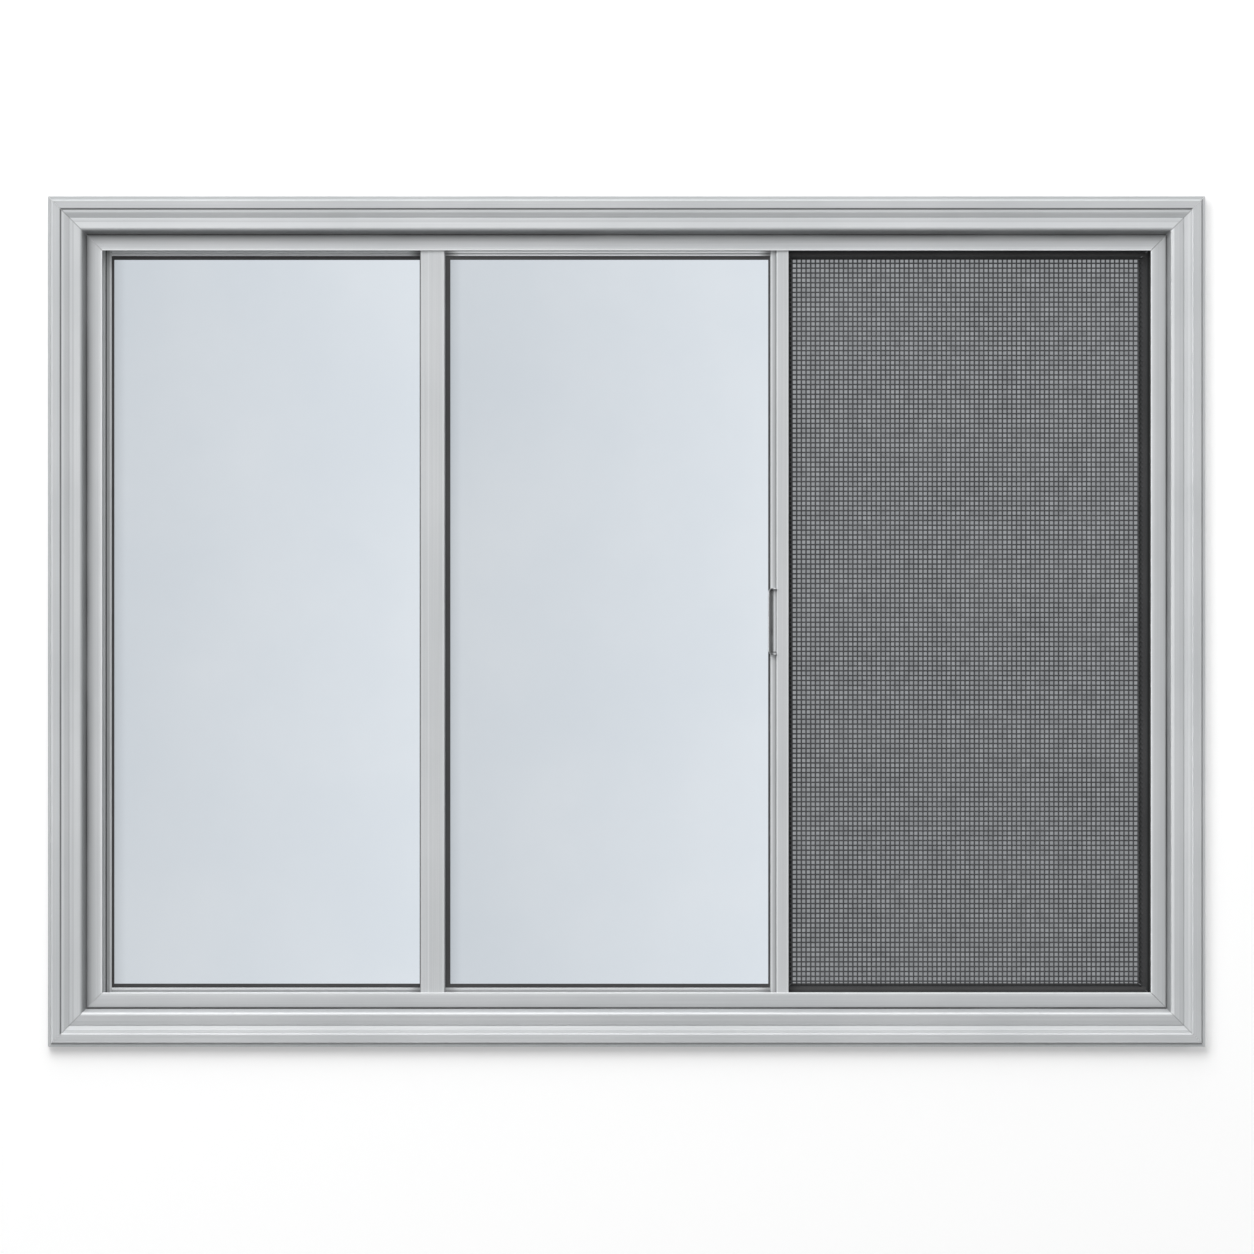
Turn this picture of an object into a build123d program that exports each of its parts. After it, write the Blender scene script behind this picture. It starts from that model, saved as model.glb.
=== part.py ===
"""Storm window: a mitred aluminium frame with a fixed lite, a sliding sash and an insect screen.

X runs to the right, Z up, and the window faces -Y. The origin is the middle of the frame's
bottom edge, on the back of the flange, which is the plane the window hangs on.
"""

import os
from math import hypot, radians, sin, sqrt, tan

from build123d import *

# Overall size
WIDTH = 1524.0
HEIGHT = 1120.0

# Face moulding of the frame, from the outer edge inward
FLANGE_PROUD = 12.0
MARGIN_WIDTH = 3.4
MARGIN_RISE = 0.2
EDGE_WIDTH = 2.2
EDGE_RISE = 3.8
FLANGE_FACE = 10.3
STEP_WIDTH = 1.6
STEP_DROP = 2.0
ROLL_SHOULDER = 3.6
ROLL_SLOPE_WIDTH = 7.4
ROLL_DROP = 3.2
ROLL_RADIUS = 14.0
RIDGE_RISE = 0.8
RAMP_WIDTH = 15.8
RAMP_RISE = 2.2
CREST_RADIUS = 5.0
WALL_WIDTH = 6.1
GROOVE_WIDTH = 1.4
GROOVE_DEPTH = 1.1
BAND_WIDTH = 19.7
BAND_BACKSET = 4.0

# Tracks and walls of the frame extrusion
SHELL = 1.6
LIP_THICKNESS = 1.8
LIP_ROUND = 1.4
TRACK_WIDTH = 13.5
TRACK_DEPTH = 19.0
DIVIDER_THICKNESS = 1.6
DIVIDER_HEIGHT = 13.5
REAR_LIP_HEIGHT = 15.5
EDGE_ROUND = 0.6
MITRE_JOINT = 0.3

# Installation screws through the jambs, in the front track
SCREW_HOLE = 5.2
SCREW_FROM_END = 180.0

# Layout of the three panels between the frame's lips
LITE_DAYLIGHT = 419.0
SCREEN_DAYLIGHT = 477.0
LIFT_CLEARANCE = 4.0
SIDE_CLEARANCE = 1.0

# Sash bars: a hollow face with a lower leg that holds the glass
SASH_THICKNESS = 11.0
SASH_WALL = 1.4
LEG_STEP = 3.0
LEG_WALL = 1.2
POCKET_DEPTH = 8.0
SASH_ROUND = 0.8
RAIL_SHOW = 3.5
TOP_RAIL_LEG = 3.5
BOTTOM_RAIL_LEG = 2.7
LITE_STILE_SHOW = 4.6
LITE_STILE_LEG = 7.7
LITE_REAR_FACE = 20.0
LITE_REAR_LEG = 4.0
LITE_PEEK = 1.0
WIDE_STILE_FACE = 31.7
WIDE_STILE_LEG = 1.0
WIDE_STILE_REBATE = 10.5
REBATE_DEPTH = 0.6
PULL_STILE_FACE = 16.0
PULL_STILE_LEG = 8.3

# Glass and its gasket
GLASS_THICKNESS = 3.0
GASKET_BASE = 1.5
GASKET_ON_RAIL = 5.2
GASKET_ON_STILE = 2.6
GASKET_ON_LITE_STILE = 3.4
GASKET_ON_WIDE_STILE = 6.8

# Finger pull on the sash
PULL_LENGTH = 87.6
PULL_OVERHANG = 2.5
PULL_RIM = 1.3
PULL_LIP = 3.2
PULL_PROUD = 7.0
PULL_FLOOR = 1.2
PULL_CORNER = 6.0
PULL_INNER_CORNER = 3.5
PULL_ROUND = 0.5

# Screen panel
SCREEN_THICKNESS = 9.0
SCREEN_WALL = 1.3
SCREEN_RAIL_SHOW = 12.0
SCREEN_STILE_SHOW = 15.7
SCREEN_REAR_STILE = 26.0
SCREEN_PEEK = 3.7
SCREEN_LIP = 5.0
SPLINE_WIDTH = 4.0
SPLINE_DEPTH = 5.0
MESH_THICKNESS = 1.4
MESH_STRAND = 4.0
MESH_COLUMNS = 6
MESH_ROWS = 12

# Pile strips between the overlapping stiles
PILE_WIDTH = 7.0
PILE_INSET = 9.0
PILE_END_GAP = 2.0

# Frame section: u runs inward from the outer edge, v to the front from the flange's back
edge_u = MARGIN_WIDTH + EDGE_WIDTH
step_u = edge_u + FLANGE_FACE
body_u = step_u + STEP_WIDTH
shoulder_u = body_u + ROLL_SHOULDER
ridge_u = shoulder_u + ROLL_SLOPE_WIDTH
crest_u = ridge_u + RAMP_WIDTH
wall_u = crest_u + WALL_WIDTH
band_u = wall_u + GROOVE_WIDTH
lip_u = band_u + BAND_WIDTH
floor_u = lip_u - TRACK_DEPTH
divider_u = floor_u + DIVIDER_HEIGHT
rear_lip_u = floor_u + REAR_LIP_HEIGHT
margin_v = FLANGE_PROUD - EDGE_RISE
rim_v = margin_v - MARGIN_RISE
step_v = FLANGE_PROUD - STEP_DROP
roll_v = step_v - ROLL_DROP
ridge_v = roll_v + RIDGE_RISE
crest_v = ridge_v + RAMP_RISE
band_v = -BAND_BACKSET
groove_v = band_v - GROOVE_DEPTH
front_track_v = band_v - LIP_THICKNESS
divider_v = front_track_v - TRACK_WIDTH
rear_track_v = divider_v - DIVIDER_THICKNESS
rear_lip_v = rear_track_v - TRACK_WIDTH
back_v = rear_lip_v - SHELL

# Panel edges in X and Z, and panel planes in Y
left_x = -WIDTH / 2
right_x = WIDTH / 2
sash_left = left_x + lip_u + LITE_DAYLIGHT
sash_right = right_x - lip_u - SCREEN_DAYLIGHT
panel_bottom = floor_u
panel_top = HEIGHT - floor_u - LIFT_CLEARANCE
panel_left = left_x + floor_u + SIDE_CLEARANCE
panel_right = right_x - floor_u - SIDE_CLEARANCE
front_track_y = TRACK_WIDTH / 2 - front_track_v
rear_track_y = TRACK_WIDTH / 2 - rear_track_v
sash_y = front_track_y - SASH_THICKNESS / 2
lite_y = rear_track_y - SASH_THICKNESS / 2
screen_y = rear_track_y - SCREEN_THICKNESS / 2
pocket_front = LEG_STEP + LEG_WALL
pocket_back = SASH_THICKNESS - LEG_WALL
bottom_rail_face = TRACK_DEPTH + RAIL_SHOW
top_rail_face = bottom_rail_face - LIFT_CLEARANCE
side_stile_face = TRACK_DEPTH + LITE_STILE_SHOW - SIDE_CLEARANCE

FRONT = Vector(0, -1, 0)
INWARD = {"left": (1, 0, 0), "right": (-1, 0, 0), "bottom": (0, 0, 1), "top": (0, 0, -1)}


def region(corners):
    """Face inside a closed outline of (x, y, radius) corners, each rounded by its own radius."""
    starts, ends, edges = [], [], []
    for i, (x, y, radius) in enumerate(corners):
        here = Vector(x, y)
        back = Vector(*corners[i - 1][:2]) - here
        ahead = Vector(*corners[(i + 1) % len(corners)][:2]) - here
        half = radians(back.get_angle(ahead)) / 2
        run = min(radius / tan(half), 0.49 * back.length, 0.49 * ahead.length)
        starts.append(here + back.normalized() * run)
        ends.append(here + ahead.normalized() * run)
        if run > 0:
            bend = (back.normalized() + ahead.normalized()).normalized()
            reach = run * tan(half) * (1 / sin(half) - 1)
            edges.append(ThreePointArc(starts[-1], here + bend * reach, ends[-1]))
    for i, end in enumerate(ends):
        edges.append(Line(end, starts[(i + 1) % len(starts)]))
    return Face(Wire(edges))


def rectangle(x0, x1, y0, y1):
    """Face of a plain rectangle."""
    return region([(x0, y0, 0), (x1, y0, 0), (x1, y1, 0), (x0, y1, 0)])


def block(x0, x1, y0, y1, z0, z1):
    """Box between two corners."""
    middle = Pos((x0 + x1) / 2, (y0 + y1) / 2, (z0 + z1) / 2)
    return middle * Box(x1 - x0, y1 - y0, z1 - z0)


def slab(face, y_back, y_front):
    """Extrudes a face drawn in X and Z from one depth to a nearer one."""
    place = Plane((0, y_back, 0), x_dir=(1, 0, 0), z_dir=FRONT)
    return extrude(place * face, amount=y_back - y_front, dir=FRONT)


def bar(section, side, corner, length):
    """Extrudes a section (x inward, y to the front) along one side, from that side's corner."""
    inward = Vector(*INWARD[side])
    place = Plane(corner, x_dir=inward, z_dir=inward.cross(FRONT))
    return extrude(place * section, amount=length, dir=place.z_dir)


def bars(sections, x0, x1, z0, z1, y):
    """Four bars round a rectangle, each as long as its side."""
    corners = {"left": (x0, y, z1), "right": (x1, y, z0), "bottom": (x0, y, z0), "top": (x1, y, z1)}
    tall, wide = z1 - z0, x1 - x0
    lengths = {"left": tall, "right": tall, "bottom": wide, "top": wide}
    return {side: bar(sections[side], side, corners[side], lengths[side]) for side in INWARD}


def mitre(members, x0, x1, z0, z1, reach):
    """Cuts four bars at 45 degrees through the corners of a rectangle, a hairline apart."""
    near, far = MITRE_JOINT / sqrt(2), MITRE_JOINT / sqrt(2) + reach
    keep = {
        "left": [(x0, z0 + near), (x0, z1 - near), (x0 + reach, z1 - far), (x0 + reach, z0 + far)],
        "right": [(x1, z0 + near), (x1, z1 - near), (x1 - reach, z1 - far), (x1 - reach, z0 + far)],
        "bottom": [(x0 + near, z0), (x1 - near, z0), (x1 - far, z0 + reach), (x0 + far, z0 + reach)],
        "top": [(x0 + near, z1), (x1 - near, z1), (x1 - far, z1 - reach), (x0 + far, z1 - reach)],
    }
    cut = {}
    for side, points in keep.items():
        face = region([(x, z, 0) for x, z in points])
        cut[side] = members[side] & slab(face, -2 * back_v, -2 * FLANGE_PROUD)
    return cut


def frame_section():
    """Hollow extrusion: the face moulding, two tracks behind it and the flange at its edge."""
    solid = region([
        (0, 0, 0),
        (0, rim_v, EDGE_ROUND),
        (MARGIN_WIDTH, margin_v, EDGE_ROUND),
        (edge_u, FLANGE_PROUD, EDGE_ROUND),
        (step_u, FLANGE_PROUD, EDGE_ROUND),
        (body_u, step_v, EDGE_ROUND / 2),
        (shoulder_u, step_v, ROLL_RADIUS),
        (ridge_u, roll_v, 0),
        (ridge_u, ridge_v, EDGE_ROUND / 2),
        (crest_u, crest_v, CREST_RADIUS),
        (wall_u, band_v, 0),
        (wall_u, groove_v, 0),
        (band_u, groove_v, 0),
        (band_u, band_v, EDGE_ROUND),
        (lip_u, band_v, LIP_ROUND),
        (lip_u, front_track_v, EDGE_ROUND / 2),
        (floor_u, front_track_v, 0),
        (floor_u, divider_v, 0),
        (divider_u, divider_v, EDGE_ROUND),
        (divider_u, rear_track_v, EDGE_ROUND),
        (floor_u, rear_track_v, 0),
        (floor_u, rear_lip_v, 0),
        (rear_lip_u, rear_lip_v, EDGE_ROUND),
        (rear_lip_u, back_v, EDGE_ROUND),
        (body_u, back_v, EDGE_ROUND),
        (body_u, 0, 0),
    ])
    # The chamber follows the moulding from inside, one shell away, and stays clear of the groove
    roll_slope = -ROLL_DROP / ROLL_SLOPE_WIDTH
    ramp_slope = RAMP_RISE / RAMP_WIDTH
    wall_slope = (band_v - crest_v) / WALL_WIDTH
    roll_down = SHELL * hypot(1, roll_slope)
    ramp_down = SHELL * hypot(1, ramp_slope)
    wall_down = SHELL * hypot(1, wall_slope)
    turn_u = crest_u - (wall_down - ramp_down) / (ramp_slope - wall_slope)
    web_u = floor_u - SHELL
    chamber = region([
        (body_u + SHELL, back_v + SHELL, 0),
        (web_u, back_v + SHELL, 0),
        (web_u, groove_v + (web_u - wall_u) * wall_slope - wall_down, 0),
        (turn_u, crest_v + (turn_u - crest_u) * ramp_slope - ramp_down, 0),
        (ridge_u, roll_v - roll_down, 0),
        (shoulder_u, step_v - roll_down, 0),
        (body_u + SHELL, step_v - roll_down, 0),
    ])
    nose = region([
        (SHELL, SHELL, 0),
        (step_u - SHELL, SHELL, 0),
        (step_u - SHELL, FLANGE_PROUD - SHELL, 0),
        (edge_u + SHELL, FLANGE_PROUD - SHELL, 0),
        (MARGIN_WIDTH + SHELL, margin_v - SHELL, 0),
        (SHELL, rim_v - SHELL, 0),
    ])
    return solid - chamber - nose


def frame():
    """Head, sill and jambs, with the screw holes through the jambs' front track."""
    section = frame_section()
    sections = {side: section for side in INWARD}
    members = bars(sections, left_x, right_x, 0, HEIGHT, 0)
    members = mitre(members, left_x, right_x, 0, HEIGHT, lip_u + SHELL)
    drill = Cylinder(SCREW_HOLE / 2, 2 * lip_u, rotation=(0, 90, 0))
    for side, x in (("left", left_x), ("right", right_x)):
        for z in (SCREW_FROM_END, HEIGHT - SCREW_FROM_END):
            members[side] -= Pos(x, front_track_y, z) * drill
    names = {"left": "left_jamb", "right": "right_jamb", "bottom": "sill", "top": "head"}
    return {f"frame_{names[side]}": member for side, member in members.items()}


def sash_section(face, leg, rebate=0.0):
    """Sash bar: a hollow face, then a lower leg with the glazing pocket in its end."""
    end = face + leg
    floor = end - POCKET_DEPTH
    solid = region([
        (0, 0, SASH_ROUND),
        (face, 0, SASH_ROUND),
        (face, -LEG_STEP, 0),
        (end, -LEG_STEP, LEG_WALL / 3),
        (end, -pocket_front, LEG_WALL / 3),
        (floor, -pocket_front, 0),
        (floor, -pocket_back, 0),
        (end, -pocket_back, LEG_WALL / 3),
        (end, -SASH_THICKNESS, LEG_WALL / 3),
        (0, -SASH_THICKNESS, SASH_ROUND),
    ])
    hollow = rectangle(SASH_WALL, floor - SASH_WALL, SASH_WALL - SASH_THICKNESS, -SASH_WALL)
    section = solid - hollow
    if rebate:
        section -= rectangle(-1, rebate, -REBATE_DEPTH, 1)
    return section


def glazed_panel(name, x0, x1, y, faces, legs, left_gasket, rebate=0.0):
    """Glass in a gasket between two full-height stiles and two rails that stand between them."""
    z0, z1 = panel_bottom, panel_top
    sections = {side: sash_section(faces[side], legs[side]) for side in ("right", "bottom", "top")}
    sections["left"] = sash_section(faces["left"], legs["left"], rebate)
    inner = {side: faces[side] + legs[side] for side in INWARD}
    in_x0, in_x1 = x0 + inner["left"], x1 - inner["right"]
    in_z0, in_z1 = z0 + inner["bottom"], z1 - inner["top"]
    stiles = bars(sections, x0, x1, z0, z1, y)
    rails = bars(sections, in_x0, in_x1, z0, z1, y)
    middle = y + (pocket_front + pocket_back) / 2
    tuck = POCKET_DEPTH - GASKET_BASE
    glass = block(
        in_x0 - tuck, in_x1 + tuck,
        middle - GLASS_THICKNESS / 2, middle + GLASS_THICKNESS / 2,
        in_z0 - tuck, in_z1 + tuck,
    )
    rubber = block(
        in_x0 - POCKET_DEPTH, in_x1 + POCKET_DEPTH,
        y + pocket_front, y + pocket_back,
        in_z0 - POCKET_DEPTH, in_z1 + POCKET_DEPTH,
    )
    daylight = block(
        in_x0 + left_gasket, in_x1 - GASKET_ON_STILE,
        y, y + SASH_THICKNESS,
        in_z0 + GASKET_ON_RAIL, in_z1 - GASKET_ON_RAIL,
    )
    return {
        f"{name}_left_stile": stiles["left"],
        f"{name}_right_stile": stiles["right"],
        f"{name}_top_rail": rails["top"],
        f"{name}_bottom_rail": rails["bottom"],
        f"{name}_gasket": rubber - daylight - glass,
        f"{name}_glass": glass,
    }


def left_lite():
    """Fixed glass panel in the rear track; its right stile stands behind the sash's wide stile."""
    reach = LITE_REAR_FACE + LITE_REAR_LEG + GASKET_ON_STILE - LITE_PEEK
    faces = {"left": side_stile_face, "right": LITE_REAR_FACE}
    faces |= {"bottom": bottom_rail_face, "top": top_rail_face}
    legs = {"left": LITE_STILE_LEG, "right": LITE_REAR_LEG, "bottom": BOTTOM_RAIL_LEG, "top": TOP_RAIL_LEG}
    return glazed_panel(
        "left_lite", panel_left, sash_left + reach, lite_y, faces, legs, GASKET_ON_LITE_STILE
    )


def centre_sash():
    """Sliding glass panel in the front track, with the finger pull on its right stile."""
    faces = {"left": WIDE_STILE_FACE, "right": PULL_STILE_FACE}
    faces |= {"bottom": bottom_rail_face, "top": top_rail_face}
    legs = {"left": WIDE_STILE_LEG, "right": PULL_STILE_LEG, "bottom": BOTTOM_RAIL_LEG, "top": TOP_RAIL_LEG}
    nodes = glazed_panel(
        "centre_sash", sash_left, sash_right, sash_y, faces, legs, GASKET_ON_WIDE_STILE, WIDE_STILE_REBATE
    )
    nodes["centre_sash_pull"] = finger_pull()
    return nodes


def finger_pull():
    """Cup on the stile's leg: a lip that thins to its rim, with ends that turn back to the face."""
    x1 = sash_right - PULL_STILE_FACE
    x0 = x1 - PULL_STILE_LEG - PULL_OVERHANG
    z0, z1 = HEIGHT / 2 - PULL_LENGTH / 2, HEIGHT / 2 + PULL_LENGTH / 2
    seat = sash_y + LEG_STEP
    rim = seat - PULL_PROUD
    outer = region([(x0, z0, PULL_CORNER), (x1, z0, 0), (x1, z1, 0), (x0, z1, PULL_CORNER)])
    levels = []
    for lip, y in ((PULL_LIP, seat - PULL_FLOOR), (PULL_RIM, rim)):
        inner = region([
            (x0 + lip, z0 + lip, PULL_INNER_CORNER),
            (x1 + 1, z0 + lip, 0),
            (x1 + 1, z1 - lip, 0),
            (x0 + lip, z1 - lip, PULL_INNER_CORNER),
        ])
        levels.append(Plane((0, y, 0), x_dir=(1, 0, 0), z_dir=FRONT) * inner)
    cup = slab(outer, seat, rim) - loft(levels, ruled=True)
    return fillet(cup.faces().sort_by(Axis.Y)[0].edges(), PULL_ROUND)


def screen_section(width):
    """Screen bar: a tube, the spline groove, then a lip set back to take the mesh."""
    lip = width - SCREEN_LIP
    groove = lip - SPLINE_WIDTH
    solid = region([
        (0, 0, EDGE_ROUND),
        (groove, 0, EDGE_ROUND / 2),
        (groove, -SPLINE_DEPTH, 0),
        (lip, -SPLINE_DEPTH, 0),
        (lip, -MESH_THICKNESS, 0),
        (width, -MESH_THICKNESS, EDGE_ROUND / 2),
        (width, -SCREEN_THICKNESS, EDGE_ROUND),
        (0, -SCREEN_THICKNESS, EDGE_ROUND),
    ])
    hollow = rectangle(
        SCREEN_WALL, groove - SCREEN_WALL, SCREEN_WALL - SCREEN_THICKNESS, -SCREEN_WALL
    )
    return solid - hollow


def mesh_grid(x0, x1, y, z0, z1):
    """Sheet that reaches onto the bars' lips, opened between them into a plain grid of strands."""
    sheet = block(
        x0 - SCREEN_LIP, x1 + SCREEN_LIP, y, y + MESH_THICKNESS, z0 - SCREEN_LIP, z1 + SCREEN_LIP
    )
    step_x = (x1 - x0 + MESH_STRAND) / MESH_COLUMNS
    step_z = (z1 - z0 + MESH_STRAND) / MESH_ROWS
    openings = []
    for column in range(MESH_COLUMNS):
        for row in range(MESH_ROWS):
            x, z = x0 + column * step_x, z0 + row * step_z
            openings.append(
                block(x, x + step_x - MESH_STRAND, y - 1, y + MESH_THICKNESS + 1, z, z + step_z - MESH_STRAND)
            )
    return sheet - openings


def screen_panel():
    """Insect screen in the rear track: four mitred bars, the spline and the mesh it holds."""
    x0, x1 = sash_right + SCREEN_PEEK, right_x - lip_u - SCREEN_STILE_SHOW
    z0, z1 = lip_u + SCREEN_RAIL_SHOW, HEIGHT - lip_u - SCREEN_RAIL_SHOW
    outer_x0, outer_x1 = x0 - SCREEN_REAR_STILE, panel_right
    widths = {"left": SCREEN_REAR_STILE, "right": panel_right - x1}
    widths |= {"bottom": z0 - panel_bottom, "top": panel_top - z1}
    sections = {side: screen_section(width) for side, width in widths.items()}
    members = bars(sections, outer_x0, outer_x1, panel_bottom, panel_top, screen_y)
    members = mitre(members, x0, x1, z0, z1, -2 * TRACK_DEPTH)
    lip, outside = SCREEN_LIP, SCREEN_LIP + SPLINE_WIDTH
    spline = block(x0 - outside, x1 + outside, screen_y, screen_y + SPLINE_DEPTH, z0 - outside, z1 + outside)
    inside = block(x0 - lip, x1 + lip, screen_y, screen_y + SPLINE_DEPTH, z0 - lip, z1 + lip)
    return {
        "screen_left_stile": members["left"],
        "screen_right_stile": members["right"],
        "screen_top_rail": members["top"],
        "screen_bottom_rail": members["bottom"],
        "screen_spline": spline - inside,
        "screen_mesh": mesh_grid(x0, x1, screen_y, z0, z1),
    }


def pile_strips():
    """Brush seals between the sash's back and the stiles behind it."""
    z0, z1 = divider_u + PILE_END_GAP, HEIGHT - divider_u - PILE_END_GAP
    back = sash_y + SASH_THICKNESS
    left = sash_left + PILE_INSET
    right = sash_right - PILE_INSET
    return {
        "left_pile_strip": block(left, left + PILE_WIDTH, back, lite_y, z0, z1),
        "right_pile_strip": block(right - PILE_WIDTH, right, back, screen_y, z0, z1),
    }


os.makedirs("parts", exist_ok=True)
for name, shape in (frame() | left_lite() | centre_sash() | screen_panel() | pile_strips()).items():
    export_step(shape, f"parts/{name}.step")
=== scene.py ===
"""Looks of a three-panel storm window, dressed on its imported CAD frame.

Metres, +Z up, and the window faces -Y. The frame's outer edge is 1.524 m by 1.12 m.
"""
import math

import bpy
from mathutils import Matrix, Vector


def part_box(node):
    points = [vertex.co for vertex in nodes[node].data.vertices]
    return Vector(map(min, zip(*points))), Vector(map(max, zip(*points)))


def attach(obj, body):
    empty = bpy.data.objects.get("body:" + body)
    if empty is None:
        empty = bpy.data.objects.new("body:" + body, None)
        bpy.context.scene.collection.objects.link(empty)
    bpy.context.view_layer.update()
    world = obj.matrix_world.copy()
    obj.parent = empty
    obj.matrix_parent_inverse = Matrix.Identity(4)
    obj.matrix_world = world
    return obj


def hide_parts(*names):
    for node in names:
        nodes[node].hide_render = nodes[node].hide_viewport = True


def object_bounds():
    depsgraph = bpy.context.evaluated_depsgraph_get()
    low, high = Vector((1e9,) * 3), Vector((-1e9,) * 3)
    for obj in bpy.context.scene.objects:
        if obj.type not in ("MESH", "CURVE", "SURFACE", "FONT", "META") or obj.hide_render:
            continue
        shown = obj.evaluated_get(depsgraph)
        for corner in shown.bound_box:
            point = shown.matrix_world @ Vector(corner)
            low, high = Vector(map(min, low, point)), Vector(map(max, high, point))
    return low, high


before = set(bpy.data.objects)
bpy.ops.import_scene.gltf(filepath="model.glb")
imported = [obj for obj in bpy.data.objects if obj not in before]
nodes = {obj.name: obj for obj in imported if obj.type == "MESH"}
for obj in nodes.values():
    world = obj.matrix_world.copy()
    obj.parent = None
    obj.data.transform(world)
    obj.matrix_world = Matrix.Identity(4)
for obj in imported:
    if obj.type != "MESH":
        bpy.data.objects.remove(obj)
cad_box = [list(corner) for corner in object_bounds()]

WINDOW_WIDTH = cad_box[1][0] - cad_box[0][0]
WINDOW_HEIGHT = cad_box[1][2] - cad_box[0][2]
FACE_Y = cad_box[0][1]
BACK_Y = cad_box[1][1]
MOULDING_WIDTH = 0.0715
# The frame's moulded face lies in front of this depth
FACE_BACK_Y = (0.0054, 0.0058)
JOINT_HALF_WIDTH = (0.0004, 0.0013)


# Shader building blocks

def linear(red, green, blue):
    """Turns a colour written in 0 to 255 into the linear values a shader takes."""
    def channel(value):
        value /= 255
        return value / 12.92 if value <= 0.04045 else ((value + 0.055) / 1.055) ** 2.4
    return (channel(red), channel(green), channel(blue), 1.0)


def put(tree, kind, settings=None, **inputs):
    """Adds a node; each input is a value, or a socket that gets linked."""
    made = tree.nodes.new(kind)
    for key, value in (settings or {}).items():
        setattr(made, key, value)
    for key, value in inputs.items():
        plug(tree, made.inputs[key.replace("_", " ")], value)
    return made


def plug(tree, socket, value):
    """Sets a socket, or links another socket to it."""
    if isinstance(value, bpy.types.NodeSocket):
        tree.links.new(value, socket)
    else:
        socket.default_value = value


def math_step(tree, operation, first, second=0.0, clamp=False):
    """One Math node, returned as its output."""
    made = tree.nodes.new("ShaderNodeMath")
    made.operation = operation
    made.use_clamp = clamp
    plug(tree, made.inputs[0], first)
    plug(tree, made.inputs[1], second)
    return made.outputs[0]


def blend_colour(tree, amount, first, second, mode="MIX"):
    """One colour Mix node, returned as its output."""
    made = tree.nodes.new("ShaderNodeMix")
    made.data_type = "RGBA"
    made.blend_type = mode
    plug(tree, made.inputs[0], amount)
    plug(tree, made.inputs[6], first)
    plug(tree, made.inputs[7], second)
    return made.outputs[2]


def spread(tree, value, low, high, to_low=0.0, to_high=1.0):
    """Smooth Map Range from low..high to to_low..to_high, clamped."""
    made = put(tree, "ShaderNodeMapRange", {"interpolation_type": "SMOOTHSTEP"}, Value=value)
    made.inputs["From Min"].default_value = low
    made.inputs["From Max"].default_value = high
    made.inputs["To Min"].default_value = to_low
    made.inputs["To Max"].default_value = to_high
    return made.outputs[0]


def across(tree, value, width, stops):
    """Value that follows (millimetres, amount) stops while another runs from 0 to a width in metres."""
    made = put(tree, "ShaderNodeValToRGB", Fac=math_step(tree, "DIVIDE", value, width))
    elements = made.color_ramp.elements
    places = [(distance / (1000 * width), amount) for distance, amount in stops]
    for element, (position, amount) in zip(elements, (places[0], places[-1])):
        element.position, element.color = position, (amount, amount, amount, 1)
    for position, amount in places[1:-1]:
        elements.new(position).color = (amount, amount, amount, 1)
    return made.outputs[0]


def start_group(name, inputs, outputs):
    """New shader node group with named sockets; returns its tree, its inputs and its output node."""
    tree = bpy.data.node_groups.new(name, "ShaderNodeTree")
    for label, kind, value in inputs:
        socket = tree.interface.new_socket(label, in_out="INPUT", socket_type=kind)
        if value is not None:
            socket.default_value = value
    for label, kind in outputs:
        tree.interface.new_socket(label, in_out="OUTPUT", socket_type=kind)
    return tree, tree.nodes.new("NodeGroupInput").outputs, tree.nodes.new("NodeGroupOutput")


def place_group(tree, group, **inputs):
    """Puts a group into a material with its own values."""
    made = tree.nodes.new("ShaderNodeGroup")
    made.node_tree = group
    for key, value in inputs.items():
        plug(tree, made.inputs[key.replace("_", " ")], value)
    return made.outputs


def start_material(name):
    """New material with a Principled shader; returns its tree, the shader and Object coordinates."""
    material = bpy.data.materials.new(name)
    material.use_nodes = True
    tree = material.node_tree
    shader = tree.nodes["Principled BSDF"]
    place = tree.nodes.new("ShaderNodeTexCoord").outputs["Object"]
    return material, tree, shader, place


# Effects that several finishes share

# How close the die lines lie in X, Y and Z on an upright and on a level bar
UPRIGHT_LINES = (900.0, 900.0, 3.0)
LEVEL_LINES = (3.0, 900.0, 900.0)


def die_line_group():
    """Fine lines that the extrusion die leaves along a bar, and slow cloudy tone."""
    tree, given, out = start_group(
        "die lines",
        [("Place", "NodeSocketVector", None), ("Stretch", "NodeSocketVector", LEVEL_LINES)],
        [("Lines", "NodeSocketFloat"), ("Clouds", "NodeSocketFloat")],
    )
    drawn = put(tree, "ShaderNodeVectorMath", {"operation": "MULTIPLY"})
    plug(tree, drawn.inputs[0], given["Place"])
    plug(tree, drawn.inputs[1], given["Stretch"])
    fine = put(tree, "ShaderNodeTexNoise", Vector=drawn.outputs[0], Scale=1.0, Detail=3.0, Roughness=0.6)
    slow = put(tree, "ShaderNodeTexNoise", Vector=given["Place"], Scale=4.5, Detail=3.0, Roughness=0.5)
    plug(tree, out.inputs["Lines"], spread(tree, fine.outputs[0], 0.3, 0.7))
    plug(tree, out.inputs["Clouds"], spread(tree, slow.outputs[0], 0.3, 0.7))
    return tree


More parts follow.
